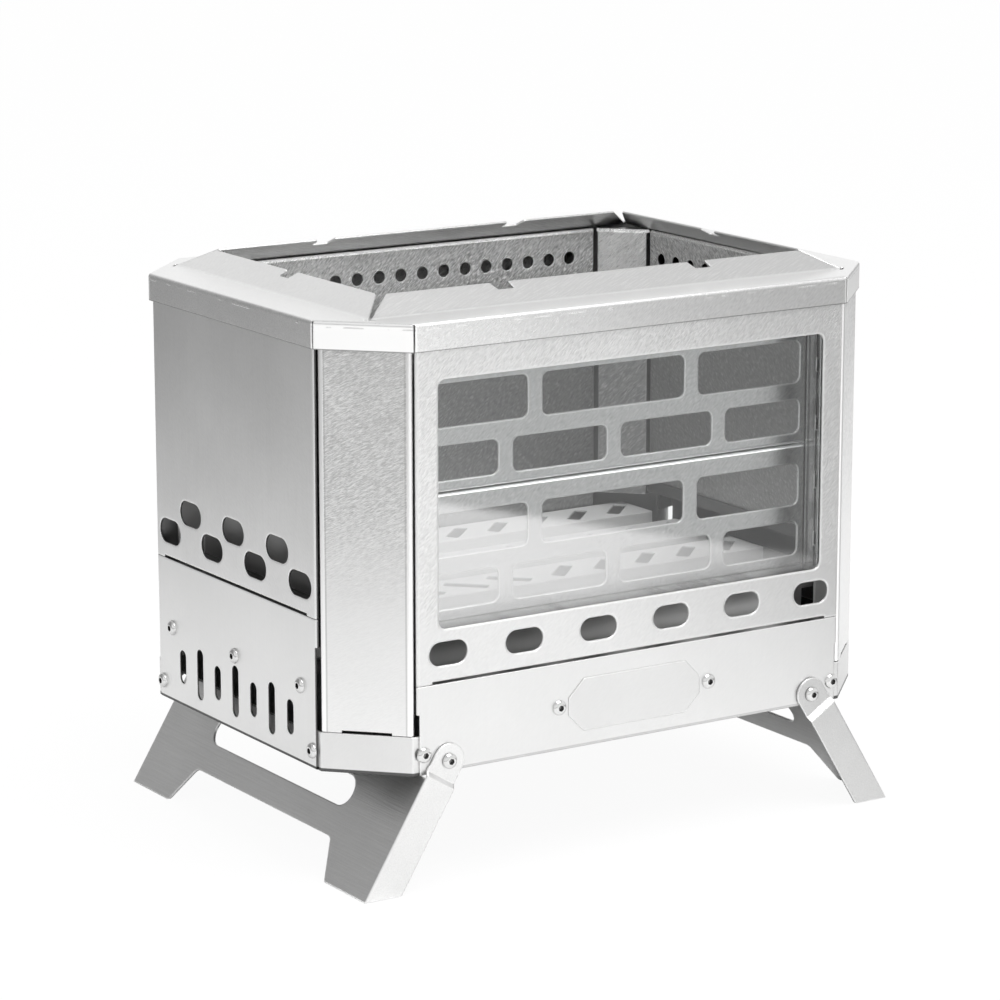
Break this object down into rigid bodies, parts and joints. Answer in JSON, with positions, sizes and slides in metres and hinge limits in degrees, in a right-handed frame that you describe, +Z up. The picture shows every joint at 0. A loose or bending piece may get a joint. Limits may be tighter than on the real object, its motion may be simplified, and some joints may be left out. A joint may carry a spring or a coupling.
{
  "type": "camping fire pit",
  "caption": "Folding-leg octagonal sheet-steel fire pit with a glass front window, brick-pattern grilles, air slots, ridged grate and lift-off top rim.",
  "frame": {"origin": "middle of the footprint, on the ground the feet stand on", "axes": "+Z up, +X to the right along the wide window wall, -Y out of the glass window"},
  "size_m": [0.4022, 0.2944, 0.352],
  "materials": {
    "wall_steel": "satin stainless sheet with fine vertical brushing",
    "inner_steel": "satin stainless sheet with a flaky diagonal brush",
    "grille_steel": "satin stainless sheet with a hairline along its length",
    "base_steel": "satin stainless sheet",
    "grate_steel": "plain bright stainless sheet",
    "rim_steel": "satin stainless sheet with a hairline along each side",
    "leg_steel": "brushed stainless sheet",
    "plate_steel": "bare satin stainless plate",
    "fastener_steel": "bright stainless screws and nuts",
    "clear_glass": "clear heat-proof glass"
  },
  "bodies": {
    "pit": {"front_panel": "wall_steel", "rear_panel": "wall_steel", "left_panel": "wall_steel", "right_panel": "wall_steel", "front_left_column": "wall_steel", "front_right_column": "wall_steel", "rear_left_column": "wall_steel", "rear_right_column": "wall_steel", "front_left_inner_column": "inner_steel", "front_right_inner_column": "inner_steel", "rear_left_inner_column": "inner_steel", "rear_right_inner_column": "inner_steel", "rear_inner_panel": "inner_steel", "left_inner_panel": "inner_steel", "right_inner_panel": "inner_steel", "window_sill": "inner_steel", "left_window_channel": "inner_steel", "right_window_channel": "inner_steel", "lower_brick_grille": "grille_steel", "upper_brick_grille": "grille_steel", "base_front_panel": "base_steel", "base_rear_panel": "base_steel", "base_left_panel": "base_steel", "base_right_panel": "base_steel", "base_front_left_corner": "base_steel", "base_front_right_corner": "base_steel", "base_rear_left_corner": "base_steel", "base_rear_right_corner": "base_steel", "ash_floor": "base_steel", "front_floor_bracket": "base_steel", "rear_floor_bracket": "base_steel", "left_grate_ledge": "base_steel", "right_grate_ledge": "base_steel", "fire_grate": "grate_steel", "nameplate_blank": "plate_steel", "corner_screws": "fastener_steel", "corner_nuts": "fastener_steel", "bracket_screws": "fastener_steel", "bracket_nuts": "fastener_steel", "left_pivot_screws": "fastener_steel", "left_pivot_nuts": "fastener_steel", "right_pivot_screws": "fastener_steel", "right_pivot_nuts": "fastener_steel", "glass_pane": "clear_glass"},
    "rim": {"top_rim": "rim_steel"},
    "left_leg": {"left_leg_frame": "leg_steel"},
    "right_leg": {"right_leg_frame": "leg_steel"}
  },
  "joints": [
    {"name": "rim_lift", "type": "slide", "parent": "pit", "child": "rim", "axis": [0, 0, 1], "range_m": [0, 0.04]},
    {"name": "left_leg_fold", "type": "hinge", "parent": "pit", "child": "left_leg", "pos_m": [-0.1345, 0, 0.077], "axis": [0, -1, 0], "range_deg": [0, 121.6]},
    {"name": "right_leg_fold", "type": "hinge", "parent": "pit", "child": "right_leg", "pos_m": [0.1345, 0, 0.077], "axis": [0, 1, 0], "range_deg": [0, 121.6]}
  ]
}
